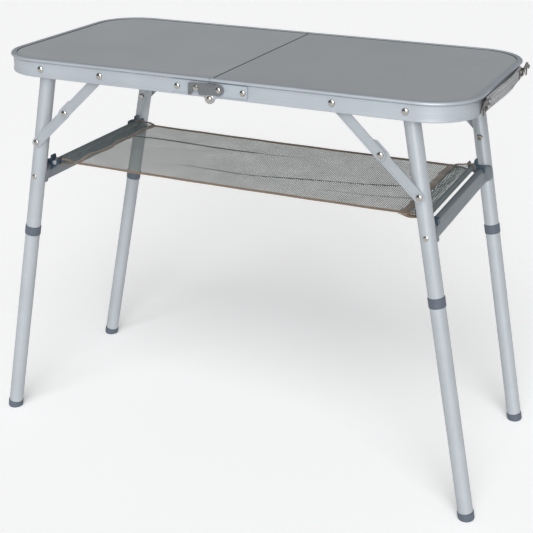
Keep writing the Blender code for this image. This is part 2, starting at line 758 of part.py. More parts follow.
def hinge_hook(name, row):
    """A plate that swings on the right leaf and drops its slot over the left leaf's stud."""
    pivot_z = TOP_HEIGHT - HOOK_PIVOT_DROP
    low_z, high_z = pivot_z - HOOK_HALF_HEIGHT + 0.0010, pivot_z + HOOK_HALF_HEIGHT
    radius = HOOK_HALF_HEIGHT - 0.0008
    outline = arc((HOOK_PIVOT_X, pivot_z), radius, -90, 90, 8)
    top_z = high_z - HOOK_TILT
    outline += [(TAB_END_X, high_z), (HOOK_END_X + 0.001, top_z), (HOOK_END_X, top_z - 0.001)]
    outline += [(HOOK_END_X, low_z - HOOK_TILT)]
    slot_top = arc((HOOK_STUD_X, pivot_z), HOOK_SLOT, 180, 0, 6)
    outline += [(HOOK_STUD_X - HOOK_SLOT - 0.0050, low_z - HOOK_TILT * 0.9)]
    outline += [(HOOK_STUD_X - HOOK_SLOT - 0.0018, pivot_z - 0.004)]
    outline += slot_top + [(HOOK_STUD_X + HOOK_SLOT, pivot_z - 0.004)]
    outline += [(HOOK_STUD_X + HOOK_SLOT + 0.0014, low_z), (HOOK_STUD_X + HOOK_SLOT + 0.0032, low_z - HOOK_TILT * 0.5)]
    outline += [(HOOK_PIVOT_X - 0.006, low_z)]
    low, high = sorted((row * HOOK_LAYER[0], row * HOOK_LAYER[1]))
    made = prism(name, outline, along_y, low, high)
    tab_low, tab_high = sorted((row * (HOOK_LAYER[1] - 0.0008), row * (HOOK_LAYER[1] + 0.0036)))
    tab = box("tab", (TAB_START_X, tab_low, high_z - 0.0016), (TAB_END_X, tab_high, high_z))
    join(made, tab)
    head = at_rivet(HOOK_PIVOT_X, pivot_z, row, HOOK_LAYER[1])
    join(made, dome("hook_rivet", head, RIVET_HEAD * 0.85, 0.0022, 0.0008))
    inner = LEAF_LAYER[0] + 0.0004
    profile = [(0, inner), (0.0024, inner), (0.0024, HOOK_LAYER[1] - 0.0004), (0, HOOK_LAYER[1] - 0.0004)]
    return join(made, lathe("hook_shank", profile, at_rivet(HOOK_PIVOT_X, pivot_z, row), RIVET_STEPS))


# Handle and hasps on the right end

def handle_strap(name):
    middle_z = TOP_HEIGHT - FITTING_DROP
    points, faces = [], []
    for i in range(STRAP_STEPS + 1):
        along = -1 + 2 * i / STRAP_STEPS
        free = min(1.0, abs(along) * STRAP_END_Y / FITTING_INNER_Y)
        swell = math.cos(free * math.pi / 2) ** 1.5
        x = STRAP_END_X + STRAP_BOW * swell
        z = middle_z + STRAP_RISE * swell
        for dx, dz in ((-1, -1), (1, -1), (1, 1), (-1, 1)):
            point = Vector((x + dx * STRAP_THICKNESS / 2, STRAP_END_Y * along, z + dz * STRAP_HEIGHT / 2))
            points.append(point)
    for i in range(STRAP_STEPS):
        for k in range(4):
            j = (k + 1) % 4
            faces.append([4 * i + k, 4 * i + j, 4 * i + 4 + j, 4 * i + 4 + k])
    last = 4 * STRAP_STEPS
    faces += [[0, 1, 2, 3], [last, last + 1, last + 2, last + 3]]
    return solid(name, points, faces)


def hasp_base(name, row):
    """A folded plate that grips the strap's end and carries the hasp's pivot."""
    middle = TOP_HEIGHT - FITTING_DROP
    low_z, high_z = middle - FITTING_HEIGHT / 2, middle + FITTING_HEIGHT / 2

    def part(inner, outer, near, far):
        low_y, high_y = sorted((row * inner, row * outer))
        return box("plate", (near, low_y, low_z), (far, high_y, high_z))

    made = part(FITTING_INNER_Y, FITTING_OUTER_Y, *FITTING_BACK)
    made.name = name
    join(made, part(FITTING_INNER_Y, FITTING_OUTER_Y, *FITTING_FRONT))
    join(made, part(FITTING_BRIDGE_Y, FITTING_OUTER_Y, FITTING_BACK[0], FITTING_FRONT[1]))
    turn = Matrix.Rotation(math.pi / 2, 4, "Y")
    for lift in (-0.0040, 0.0040):
        place = Matrix.Translation((FITTING_FRONT[1], row * (FITTING_INNER_Y + 0.0055), middle + lift)) @ turn
        join(made, dome("strap_rivet", place, 0.0028, 0.0016, 0.0008))
    room = Matrix.Translation((0, row * HASP_PIVOT_Y, middle)) @ turn
    low, high = FITTING_BACK[0] + 0.0010, FITTING_FRONT[1] + 0.002
    return cut(made, lathe("pivot_room", [(0, low), (0.0025, low), (0.0025, high), (0, high)], room, RIVET_STEPS))


def hasp(name, row):
    """A flat double hook that swings on its base to catch the other half's keeper."""
    middle = TOP_HEIGHT - FITTING_DROP
    pivot = Vector((HASP_PIVOT_Y, middle))
    shape = [
        (-0.0050, 0.0010), (-0.0036, 0.0046), (0.0060, 0.0086), (0.0205, 0.0125), (0.0270, 0.0115),
        (0.0400, 0.0030), (0.0460, 0.0035), (0.0455, -0.0010), (0.0385, -0.0015), (0.0280, 0.0060),
        (0.0262, 0.0040), (0.0262, -0.0090), (0.0222, -0.0090), (0.0215, 0.0050), (0.0100, 0.0020),
        (0.0045, -0.0035), (0.0, -0.0050), (-0.0040, -0.0032),
    ]
    outline = [(row * (pivot.x + u), pivot.y + v) for u, v in shape]
    made = prism(name, outline, along_x, *HASP_PLATE)
    turn = Matrix.Translation((0, row * HASP_PIVOT_Y, middle)) @ Matrix.Rotation(math.pi / 2, 4, "Y")
    inner = FITTING_BACK[0] + 0.0014
    end = HASP_PLATE[1]
    profile = [(0, inner), (0.0022, inner), (0.0022, end - 0.0004), (0, end - 0.0004)]
    join(made, lathe("hasp_shank", profile, turn, RIVET_STEPS))
    head = Matrix.Translation((end, row * HASP_PIVOT_Y, middle)) @ Matrix.Rotation(math.pi / 2, 4, "Y")
    return join(made, dome("hasp_rivet", head, 0.0038, 0.0018, 0.0008))


def build():
    clear_scene()
    for side, half in ((-1, "left"), (1, "right")):
        rail(f"{half}_rail", side)
        panel(f"{half}_panel", side)
        seam_bar(f"{half}_seam_bar", side)
        crossbar(f"{half}_crossbar", side)
        shelf_rod(f"{half}_shelf_rod", side)
        for row, edge in ((-1, "front"), (1, "rear")):
            corner = f"{half}_{edge}"
            leg_upper(f"{corner}_leg_upper", side, row)
            leg_collar(f"{corner}_leg_collar", side, row)
            leg_lower(f"{corner}_leg_lower", side, row)
            foot_cap(f"{corner}_foot_cap", side, row)
            shelf_clip(f"{corner}_shelf_clip", side, row)
            brace_upper(f"{corner}_brace_upper", side, row)
            brace_lower(f"{corner}_brace_lower", side, row)
            leg_pivot_rivet(f"{corner}_pivot_rivet", side, row)
            brace_rail_rivet(f"{corner}_brace_rivet", side, row)
            hinge_leaf(f"{corner}_hinge_leaf", side, row)
    shelf("shelf_mesh")
    handle_strap("handle_strap")
    for row, edge in ((-1, "front"), (1, "rear")):
        hinge_pin(f"{edge}_hinge_pin", row)
        hinge_hook(f"{edge}_hinge_hook", row)
        hasp_base(f"{edge}_hasp_base", row)
        hasp(f"{edge}_hasp", row)


build()
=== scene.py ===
"""Looks of the camp kitchen table: materials, the mesh shelf, the webbing handle, light and camera.

The row frame is in metres: X along the table with the strap handle at +X, Y to the back, Z up.
"""

import math

import bmesh
import bpy
import numpy as np
from mathutils import Matrix, Vector


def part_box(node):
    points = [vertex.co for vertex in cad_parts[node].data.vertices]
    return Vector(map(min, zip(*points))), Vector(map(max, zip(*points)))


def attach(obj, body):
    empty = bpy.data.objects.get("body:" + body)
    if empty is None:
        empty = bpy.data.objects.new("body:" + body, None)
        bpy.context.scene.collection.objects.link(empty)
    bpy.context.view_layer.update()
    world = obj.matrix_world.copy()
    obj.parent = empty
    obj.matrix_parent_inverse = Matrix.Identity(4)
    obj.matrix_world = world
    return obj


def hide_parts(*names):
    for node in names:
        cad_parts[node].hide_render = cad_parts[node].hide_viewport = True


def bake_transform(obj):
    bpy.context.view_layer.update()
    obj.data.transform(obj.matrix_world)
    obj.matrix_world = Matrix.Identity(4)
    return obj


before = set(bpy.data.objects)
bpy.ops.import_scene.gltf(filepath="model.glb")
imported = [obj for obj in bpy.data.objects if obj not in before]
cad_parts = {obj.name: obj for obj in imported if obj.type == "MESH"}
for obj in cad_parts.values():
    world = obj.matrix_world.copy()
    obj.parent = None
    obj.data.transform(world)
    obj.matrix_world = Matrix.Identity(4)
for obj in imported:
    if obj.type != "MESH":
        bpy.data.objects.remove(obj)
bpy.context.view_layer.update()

# Camera
CAMERA_AT = (0.7539, -1.6687, 1.0607)
CAMERA_YAW = -0.4214
CAMERA_PITCH = 0.3968
CAMERA_ROLL = 0.0053
CAMERA_LENS = 75.7
SENSOR = 36.0

# Light: direction it comes from, width of its disc in degrees, strength
WORLD_STRENGTH = 0.13
SOFT_LIGHTS = {
    "key": ((0.6, -2.0, 2.1), 46, 1.65),
    "front": ((0.85, -2.1, 0.65), 34, 1.85),
    "overhead": ((0.2, 0.3, 3.0), 110, 0.35),
}

# Rim of the top, in metres
RIM_HALF_LENGTH = 0.397
RIM_HALF_DEPTH = 0.200
RIM_CORNER = 0.080
RIM_LIP_WIDTH = 0.0096
# Heights of the rim's inner wall that is painted near-black as shade
LIP_WALL_LOW = 0.6690
LIP_WALL_HIGH = 0.6722

# How far each leg leans out, for the direction of the tubes' grain
SPLAY = math.radians(11.206)

# Where domed heads that are joined to other nodes start: distances from the table's middle and heights,
# in metres
HEAD_REACH = 0.006
LEG_HEAD_Y = 0.18405
LEG_HEAD_Z = 0.4669
UPPER_LINK_FACE = 0.19055
LOWER_LINK_FACE = 0.18755
LOWER_LINK_BACK = 0.1838
LEAF_FACES = {"left": 0.19825, "right": 0.19995}
HOOK_FACE = 0.20305
HOOK_HEAD_TOP = 0.6645
HASP_FACE = 0.40285
HASP_BASE_FACE = 0.40085
RAIL_END_FACE = 0.3936
KEEPER_FACE = 0.3980
KEEPER_Y = 0.115
KEEPER_LOW = 0.648
KEEPER_HIGH = 0.664

# Painted shadow of the gap between the panels along the fold, in metres from the middle
SEAM_SHADOW_FULL = 0.0010
SEAM_SHADOW_FADE = 0.0019

# Shading of the CAD nodes
WELD_REACH = 0.000002
HARD_EDGE = math.radians(34)

# Shelf, in metres
SHELF_HALF_DEPTH = 0.133
SHELF_SAG = 0.0015
SLEEVE_RADIUS = 0.0054
SLEEVES = {
    "left": {"side": -1, "width": 0.032, "band": 0.008, "waver": 0.0030, "wave": 72, "open": 0.0030},
    "right": {"side": 1, "width": 0.029, "band": 0.014, "waver": 0.0009, "wave": 120, "open": 0.0016},
}
SLEEVE_OVERHANG = 0.0010
SLEEVE_LEAVES_ROD = 1.1  # angle round the rod, in radians
CLOTH_HALF = 0.0006
FINE_WRINKLE = 0.0011
BROAD_WRINKLE = 0.0012
PUCKER = 0.0006
WRINKLE_FADE = 0.004
WRINKLE_CALM = 0.022
PIPING = (0.0020, 0.0062)
BAND_OVERLAP = 0.002
BAND_HALF = 0.0007
BAND_BULGE = 0.0007
BAND_FRAY = 0.0004
BAND_BUCKLE = 0.0005
BLEND_NEAR = 0.262
BLEND_FAR = 0.125
MIDDLE_BEND = 0.100
GRID_STEP = 0.004
BINDING_WIDTH = 0.0070
BINDING_THICKNESS = 0.0030
BINDING_WAVER = 0.0004
WEAVE_PITCH = 0.0034
LONG_WAVE = 0.0006
CROSS_WAVE = 0.0005
CALM_EDGE = 0.03
FOLD_LINES = (
    {"y": 0.055, "slope": 0.216, "faint": 0.06, "strong": -0.16},
    {"y": -0.062, "slope": 0.190, "faint": -0.15, "strong": 0.06},
    {"y": -0.098, "slope": 0.110, "faint": 0.10, "strong": 0.50},
)
FOLD_HEIGHT = 0.0011
FOLD_WIDTH = 0.0030
FOLD_WANDER = 0.002
# Creases: where the weave is denser as doubled cloth and darker as painted shade, and how far they wander
CREASE_DARK = 0.0012
CREASE_FADE = 0.0036
CREASE_WANDER = 0.004
FLAP_START = 0.283
FLAP_DROP = 0.0030
FLAP_TAPER = 0.016
FLAP_SECTION = (0.0018, 0.0050)
STITCH_LENGTH = 0.0026
STITCH_GAP = 0.0016
STITCH_RADIUS = 0.00028

# Strap, in metres
STRAP_HEIGHT = 0.022
STRAP_THICKNESS = 0.0019
STRAP_HALF = 0.110
STRAP_FREE = 0.096
STRAP_X = 0.3983
STRAP_Z = 0.6566
STRAP_BOW = 0.0075
STRAP_RISE = 0.0048
STRAP_RIBS = 9
RIB_DEPTH = 0.00012
SELVEDGE = 0.0012
WEBBING_PITCH = 0.0016
TWILL_PITCH = 0.0022
SEAM_LIFT = 0.0078
SEAM_START = 0.070
SEAM_END = 0.0945

FLOOR_RADIUS = 14
FLOOR_Z = -0.0002

rod_low, rod_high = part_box("left_shelf_rod")
ROD_X = -(rod_low.x + rod_high.x) / 2
ROD_Z = (rod_low.z + rod_high.z) / 2


# Camera and light

def view_axes():
    """Right, up and forward of the camera from its yaw, pitch and roll."""
    forward = Vector((
        math.sin(CAMERA_YAW) * math.cos(CAMERA_PITCH),
        math.cos(CAMERA_YAW) * math.cos(CAMERA_PITCH),
        -math.sin(CAMERA_PITCH),
    ))
    right = Vector((math.cos(CAMERA_YAW), -math.sin(CAMERA_YAW), 0))
    up = right.cross(forward)
    cos_roll, sin_roll = math.cos(CAMERA_ROLL), math.sin(CAMERA_ROLL)
    return cos_roll * right + sin_roll * up, -sin_roll * right + cos_roll * up, forward


def make_camera():
    """The camera, from its place, yaw, pitch and roll."""
    right, up, forward = view_axes()
    lens = bpy.data.cameras.new("camera")
    lens.lens = CAMERA_LENS
    lens.sensor_width = SENSOR
    lens.clip_end = 50
    camera = bpy.data.objects.new("camera", lens)
    turn = Matrix((right, up, -forward)).transposed().to_4x4()
    camera.matrix_world = Matrix.Translation(CAMERA_AT) @ turn
    bpy.context.scene.collection.objects.link(camera)
    bpy.context.scene.camera = camera


def soft_light(name, place, spread, power):
    """Even light from a wide disc of sky in the direction of place."""
    lamp = bpy.data.lights.new(name, "SUN")
    lamp.angle = math.radians(spread)
    lamp.energy = power
    made = bpy.data.objects.new(name, lamp)
    made.location = place
    made.rotation_euler = (-Vector(place)).to_track_quat("-Z", "Y").to_euler()
    bpy.context.scene.collection.objects.link(made)


def make_light():
    """A dim even sky and the wide soft lights."""
    world = bpy.data.worlds.new("studio")
    world.use_nodes = True
    sky = world.node_tree.nodes["Background"]
    sky.inputs["Color"].default_value = (0.94, 0.97, 1.0, 1)
    sky.inputs["Strength"].default_value = WORLD_STRENGTH
    bpy.context.scene.world = world
    for name, (place, spread, power) in SOFT_LIGHTS.items():
        soft_light(name, place, spread, power)
    bpy.context.scene.view_settings.view_transform = "Standard"


# Node helpers

class Shader:
    """A material's node tree with short ways to add to it."""

    def __init__(self, name, colour, metallic, roughness):
        self.material = bpy.data.materials.new(name)
        self.material.use_nodes = True
        self.tree = self.material.node_tree
        self.surface = self.tree.nodes["Principled BSDF"]
        self.surface.inputs["Base Color"].default_value = (*colour, 1)
        self.surface.inputs["Metallic"].default_value = metallic
        self.surface.inputs["Roughness"].default_value = roughness
        self.place = self.tree.nodes.new("ShaderNodeTexCoord")

    def plug(self, value, socket):
        """Feeds a socket with another socket or a plain value."""
        if isinstance(value, bpy.types.NodeSocket):
            self.tree.links.new(value, socket)
        else:
            socket.default_value = value

    def set(self, name, value):
        self.plug(value, self.surface.inputs[name])

    def split(self, source):
        """The X, Y and Z outputs of a texture coordinate."""
        node = self.tree.nodes.new("ShaderNodeSeparateXYZ")
        self.tree.links.new(self.place.outputs[source], node.inputs["Vector"])
        return node.outputs

    def mapped(self, scale, turn=(0, 0, 0), source="Object"):
        node = self.tree.nodes.new("ShaderNodeMapping")
        node.inputs["Scale"].default_value = scale
        node.inputs["Rotation"].default_value = turn
        self.tree.links.new(self.place.outputs[source], node.inputs["Vector"])
        return node.outputs["Vector"]

    def noise(self, vector, scale=1.0, detail=2.0, rough=0.5):
        node = self.tree.nodes.new("ShaderNodeTexNoise")
        self.tree.links.new(vector, node.inputs["Vector"])
        node.inputs["Scale"].default_value = scale
        node.inputs["Detail"].default_value = detail
        node.inputs["Roughness"].default_value = rough
        return node.outputs["Fac"]

    def ramp(self, value, low, high, start=0.0, end=1.0):
        """Maps a number from low..high to start..end."""
        node = self.tree.nodes.new("ShaderNodeMapRange")
        self.plug(value, node.inputs["Value"])
        node.inputs["From Min"].default_value = low
        node.inputs["From Max"].default_value = high
        node.inputs["To Min"].default_value = start
        node.inputs["To Max"].default_value = end
        return node.outputs["Result"]

    def math(self, kind, first, second=0.0):
        node = self.tree.nodes.new("ShaderNodeMath")
        node.operation = kind
        self.plug(first, node.inputs[0])
        self.plug(second, node.inputs[1])
        return node.outputs["Value"]

    def mix(self, factor, first, second):
        node = self.tree.nodes.new("ShaderNodeMix")
        node.data_type = "RGBA"
        self.plug(factor, node.inputs["Factor"])
        self.plug(first if not isinstance(first, tuple) else (*first, 1), node.inputs[6])
        self.plug(second if not isinstance(second, tuple) else (*second, 1), node.inputs[7])
        return node.outputs[2]

    def bump(self, height, strength, distance):
        node = self.tree.nodes.new("ShaderNodeBump")
        node.inputs["Strength"].default_value = strength
        node.inputs["Distance"].default_value = distance
        self.tree.links.new(height, node.inputs["Height"])
        self.tree.links.new(node.outputs["Normal"], self.surface.inputs["Normal"])


# Materials

def brushed(name, colour, roughness, grain, turn=(0, 0, 0), wear=0.12, depth=0.00004, metal=0.30):
    """Satin metal with fine lines; grain is the noise scale along X, Y and Z."""
    shader = Shader(name, colour, metal, roughness)
    lines = shader.noise(shader.mapped(grain, turn), 1.0, 3.0, 0.6)
    cloud = shader.noise(shader.mapped((9, 9, 9)), 1.0, 3.0, 0.6)
    scuff = shader.noise(shader.mapped((70, 70, 70)), 1.0, 4.0, 0.7)
    worn = shader.ramp(scuff, 0.62, 0.78)
    dull = tuple(c * 0.93 for c in colour)
    light = tuple(min(1.0, c * 1.04) for c in colour)
    base = shader.mix(shader.ramp(cloud, 0.35, 0.65), light, dull)
    base = shader.mix(shader.ramp(lines, 0.40, 0.62, 0, 0.5), base, tuple(c * 0.90 for c in colour))
    base = shader.mix(shader.math("MULTIPLY", worn, wear), base, tuple(c * 0.55 for c in colour))
    shader.set("Base Color", base)
    streak = shader.ramp(lines, 0.3, 0.7, roughness - 0.06, roughness + 0.08)
    shader.set("Roughness", shader.math("ADD", streak, shader.math("MULTIPLY", worn, 0.12)))
    shader.bump(lines, 0.35, depth)
    return shader.material


def painted_panel(name, shade):
    """Matt grey laminate: a fine pebbled skin, faint rubbing and a painted shadow line along the fold, where
    the panels' gap lies.
    """
    # The shade factor paints the light on each side: lighter on the left panel, darker on the right
    colour = tuple(shade * c for c in (0.400, 0.421, 0.434))
    shader = Shader(name, colour, 0.0, 0.5)
    pebble = shader.noise(shader.mapped((900, 900, 900)), 1.0, 2.0, 0.5)
    cloud = shader.noise(shader.mapped((5, 5, 5)), 1.0, 3.0, 0.55)
    rub = shader.noise(shader.mapped((14, 60, 20)), 1.0, 5.0, 0.7)
    base = shader.mix(shader.ramp(cloud, 0.3, 0.7), colour, tuple(0.93 * c for c in colour))
    base = shader.mix(shader.ramp(rub, 0.60, 0.80, 0, 0.25), base, tuple(1.18 * c for c in colour))
    speck = shader.ramp(pebble, 0.66, 0.74, 0, 0.18)
    base = shader.mix(speck, base, tuple(0.65 * c for c in colour))
    from_fold = shader.math("ABSOLUTE", shader.split("Object")["X"])
    # Painted shadow: near black along the fold, where the gap between the panels lies in shade
    seam = shader.ramp(from_fold, SEAM_SHADOW_FULL, SEAM_SHADOW_FADE, 0.8, 0.0)
    shader.set("Base Color", shader.mix(seam, base, (0.04, 0.043, 0.046)))
    shader.set("Roughness", shader.ramp(rub, 0.35, 0.75, 0.46, 0.60))
    shader.set("Specular IOR Level", 0.42)
    shader.bump(pebble, 0.22, 0.00012)
    return shader.material


def moulded(name, colour, roughness):
    """Moulded plastic with a fine spark texture and dusty scuffs."""
    shader = Shader(name, colour, 0.0, roughness)
    grain = shader.noise(shader.mapped((1600, 1600, 1600)), 1.0, 2.0, 0.5)
    scuff = shader.noise(shader.mapped((120, 120, 120)), 1.0, 4.0, 0.7)
    dusty = tuple(c * 1.5 + 0.03 for c in colour)
    shader.set("Base Color", shader.mix(shader.ramp(scuff, 0.55, 0.8, 0, 0.45), colour, dusty))
    shader.set("Roughness", shader.ramp(scuff, 0.3, 0.8, roughness - 0.06, roughness + 0.14))
    shader.bump(grain, 0.3, 0.00008)
    return shader.material


def polished(name, colour, roughness):
    """Bright plated rivets with fine pits and darker rings of grime."""
    shader = Shader(name, colour, 1.0, roughness)
    pits = shader.noise(shader.mapped((900, 900, 900)), 1.0, 3.0, 0.6)
    grime = shader.noise(shader.mapped((260, 260, 260)), 1.0, 3.0, 0.6)
    shader.set("Base Color", shader.mix(shader.ramp(grime, 0.5, 0.72, 0, 0.6), colour, (0.30, 0.27, 0.23)))
    shader.set("Roughness", shader.ramp(grime, 0.35, 0.7, roughness, roughness + 0.22))
    shader.bump(pits, 0.25, 0.00005)
    return shader.material


def woven(shader, pitch):
    """Threads on the UV map, in metres: one set, both crossing sets, and the map's own parts."""
    flat = shader.split("UV")
    turns = math.tau / pitch
    across = shader.math("SINE", shader.math("MULTIPLY", flat["X"], turns))
    along = shader.math("SINE", shader.math("MULTIPLY", flat["Y"], turns))
    return across, shader.math("MAXIMUM", across, along), flat


def mesh_cloth(name, threads, dark, openness):
    """See-through weave with long creases, denser where the cloth doubles and painted darker as shade:
    threads where either set runs, holes between them.
    """
    shader = Shader(name, threads, 0.0, 0.62)
    across, both, flat = woven(shader, WEAVE_PITCH)
    drift = shader.noise(shader.mapped((22, 22, 22), source="UV"), 1.0, 3.0, 0.6)
    limit = shader.ramp(drift, 0.3, 0.7, openness - 0.16, openness + 0.16)
    wander = shader.noise(shader.mapped((5, 0.5, 1), source="UV"), 1.0, 1.0)
    wander = shader.ramp(wander, 0.3, 0.7, -CREASE_WANDER, CREASE_WANDER)
    crease = 0.0
    for line in FOLD_LINES:
        centre = shader.ramp(flat["X"], 0, 1, line["y"], line["y"] + line["slope"])
        off = shader.math("SUBTRACT", shader.math("SUBTRACT", flat["Y"], centre), wander)
        mark = shader.ramp(shader.math("ABSOLUTE", off), CREASE_DARK, CREASE_FADE, 1.0, 0.0)
        share = shader.ramp(flat["X"], line["faint"], line["strong"])
        crease = shader.math("MAXIMUM", crease, shader.math("MULTIPLY", mark, share))
    limit = shader.math("SUBTRACT", limit, shader.math("MULTIPLY", crease, 2.4))
    solid = shader.math("GREATER_THAN", both, limit)
    tint = shader.mix(shader.ramp(drift, 0.3, 0.7), threads, tuple(c * 0.75 for c in threads))
    # Painted shade: the colour darkens towards the crease colour along the folds
    tint = shader.mix(shader.math("MULTIPLY", crease, 0.9), tint, dark)
    weft = shader.ramp(across, -1, 1, 0.0, 0.35)
    shader.set("Base Color", shader.mix(weft, tint, tuple(min(1, c * 1.35) for c in threads)))
    shader.set("Alpha", solid)
    shader.set("Sheen Weight", 0.15)
    shader.bump(both, 0.6, 0.0004)
    return shader.material


def bound_edge(name, colour):
    """Folded grosgrain binding with close ribs across it."""
    shader = Shader(name, colour, 0.0, 0.8)
    ribs = shader.noise(shader.mapped((900, 40, 900), source="UV"), 1.0, 2.0, 0.5)
    wave = shader.tree.nodes.new("ShaderNodeTexWave")
    wave.inputs["Scale"].default_value = 260
    wave.inputs["Distortion"].default_value = 0.6
    shader.tree.links.new(shader.place.outputs["UV"], wave.inputs["Vector"])
    faded = tuple(min(1, c * 1.5 + 0.02) for c in colour)
    shader.set("Base Color", shader.mix(shader.ramp(ribs, 0.4, 0.75, 0, 0.5), colour, faded))
    shader.set("Sheen Weight", 0.4)
    shader.bump(wave.outputs["Fac"], 0.5, 0.0003)
    return shader.material


def webbing_cloth(name):
    """Heavy grey webbing: diagonal twill ribs with loose fibres."""
    shader = Shader(name, (0.150, 0.157, 0.170), 0.0, 0.82)
    _, both, flat = woven(shader, WEBBING_PITCH)
    slant = shader.math("ADD", flat["X"], flat["Y"])
    twill = shader.math("SINE", shader.math("MULTIPLY", slant, math.tau / TWILL_PITCH))
    fuzz = shader.noise(shader.mapped((600, 600, 600), source="UV"), 1.0, 3.0, 0.7)
    base = shader.mix(shader.ramp(twill, -1, 1), (0.100, 0.105, 0.115), (0.205, 0.212, 0.226))
    shader.set("Base Color", shader.mix(shader.ramp(fuzz, 0.45, 0.75, 0, 0.5), base, (0.23, 0.23, 0.245)))
    shader.set("Sheen Weight", 0.6)
    shader.set("Sheen Roughness", 0.5)
    shader.bump(shader.math("ADD", twill, both), 0.8, 0.0004)
    return shader.material


def thread(name, colour):
    """Twisted sewing thread."""
    shader = Shader(name, colour, 0.0, 0.75)
    twist = shader.noise(shader.mapped((1500, 1500, 1500)), 1.0, 2.0, 0.5)
    shader.set("Base Color", shader.mix(twist, colour, tuple(c * 0.6 for c in colour)))
    shader.bump(twist, 0.5, 0.0002)
    return shader.material


def floor_paint():
    """Plain pale studio floor, a little brighter than the light makes it."""
    shader = Shader("studio_floor", (0.90, 0.90, 0.90), 0.0, 0.85)
    shader.set("Emission Color", (1, 1, 1, 1))
    shader.set("Emission Strength", 0.24)
    return shader.material


def make_materials():
    """Every material, by the key that nodes and pieces ask for."""
    made = {
        "rail": brushed("rim_anodised", (0.405, 0.440, 0.478), 0.48, (5, 5, 900)),
        # One laminate in two copies, the left painted lighter and the right painted darker for the light
        # across the top
        "left_panel": painted_panel("left_laminate_painted_lit", 1.03),
        "right_panel": painted_panel("right_laminate_painted_shaded", 0.97),
        "bar": brushed("crossbar_satin", (0.185, 0.210, 0.230), 0.44, (900, 8, 900)),
        "link": brushed("brace_satin", (0.375, 0.407, 0.435), 0.46, (60, 60, 1400)),
        "leaf": brushed("leaf_satin", (0.400, 0.445, 0.485), 0.44, (8, 900, 2200)),
        "rod": brushed("rod_steel", (0.42, 0.44, 0.47), 0.35, (900, 12, 900)),
        "hook": brushed("hook_steel", (0.20, 0.21, 0.22), 0.42, (10, 900, 1500), wear=0.5, metal=0.7),
        "fitting": brushed("fitting_steel", (0.10, 0.095, 0.088), 0.40, (500, 20, 1200), wear=0.6, metal=0.8),
        # Near-black painted shade on the rim's inner wall above the panel
        "lip_painted_shade": moulded("lip_wall_painted_shade", (0.060, 0.068, 0.070), 0.6),
        "rivet": polished("rivet_nickel", (0.46, 0.445, 0.42), 0.12),
        "plastic": moulded("slate_plastic", (0.080, 0.100, 0.128), 0.50),
        "clip": moulded("clip_plastic", (0.030, 0.056, 0.082), 0.40),
        # The third colour is the creases' painted shade
        "mesh": mesh_cloth("shelf_weave", (0.124, 0.152, 0.134), (0.026, 0.040, 0.045), 0.17),
        "sleeve": mesh_cloth("sleeve_weave", (0.115, 0.158, 0.155), (0.03, 0.03, 0.03), 0.20),
        "binding": bound_edge("brown_binding", (0.168, 0.112, 0.072)),
        "webbing": webbing_cloth("grey_webbing"),
        "thread": thread("dark_thread", (0.06, 0.065, 0.075)),
        "brown_thread": thread("brown_thread", (0.20, 0.125, 0.085)),
        # The seam bar under the fold is near-black as painted shade of the gap above it
        "core": moulded("fold_bar_painted_shade", (0.030, 0.032, 0.034), 0.7),
        "floor": floor_paint(),
    }
    for side, name in ((-1, "left"), (1, "right")):
        turn = (0, side * SPLAY, 0)
        made[f"{name}_tube"] = brushed(
            f"{name}_tube_satin", (0.415, 0.448, 0.475), 0.44, (1500, 1500, 5), turn)
    return made


def material_key(node):
    """Which material a CAD node takes, from its name."""
    side = node.split("_")[0]
    kinds = (
        ("rail", "rail"), ("panel", f"{side}_panel"), ("crossbar", "bar"), ("collar", "plastic"),
        ("foot_cap", "plastic"), ("shelf_clip", "clip"), ("seam_bar", "core"), ("shelf_rod", "rod"),
        ("rivet", "rivet"), ("hinge_pin", "rivet"), ("brace", "link"), ("leaf", "leaf"),
        ("hook", "hook"), ("hasp", "fitting"), ("strap", "webbing"), ("shelf_mesh", "mesh"),
    )
    for word, key in kinds:
        if word in node:
            return key
    return f"{side}_tube"


def is_rivet_face(node, centre):
    """True where a CAD face belongs to a domed rivet that is joined to a plate or tube."""
    x, y, z = abs(centre[0]), abs(centre[1]), centre[2]
    if "leg_upper" in node:
        return y > LEG_HEAD_Y and abs(z - LEG_HEAD_Z) < HEAD_REACH
    if "brace_upper" in node:
        return y > UPPER_LINK_FACE
    if "brace_lower" in node:
        return y > LOWER_LINK_FACE or y < LOWER_LINK_BACK
    if "leaf" in node:
        return y > LEAF_FACES[node.split("_")[0]]
    if "hinge_hook" in node:
        return y > HOOK_FACE and z < HOOK_HEAD_TOP
    if "hasp" in node:
        return x > (HASP_BASE_FACE if "base" in node else HASP_FACE)
    if node == "left_rail":
        by_keeper = KEEPER_LOW < z < KEEPER_HIGH and abs(y - KEEPER_Y) < HEAD_REACH
        return x > KEEPER_FACE or (x > RAIL_END_FACE and by_keeper)
    return False


def is_lip_wall(face):
    """True on the rim's inner wall, where it stands above the panel and is painted near-black as shade."""
    upright = abs(face.normal.z) < 0.2
    return upright and LIP_WALL_LOW < face.center.z < LIP_WALL_HIGH and inside_lip(face.center)


def inside_lip(point):
    """True for a point nearer the panel than the rim's outer face."""
    corner_x, corner_y = RIM_HALF_LENGTH - RIM_CORNER, RIM_HALF_DEPTH - RIM_CORNER
    off_x, off_y = max(0.0, abs(point.x) - corner_x), max(0.0, abs(point.y) - corner_y)
    return 0.001 < abs(point.x) and math.hypot(off_x, off_y) < RIM_CORNER - RIM_LIP_WIDTH / 2


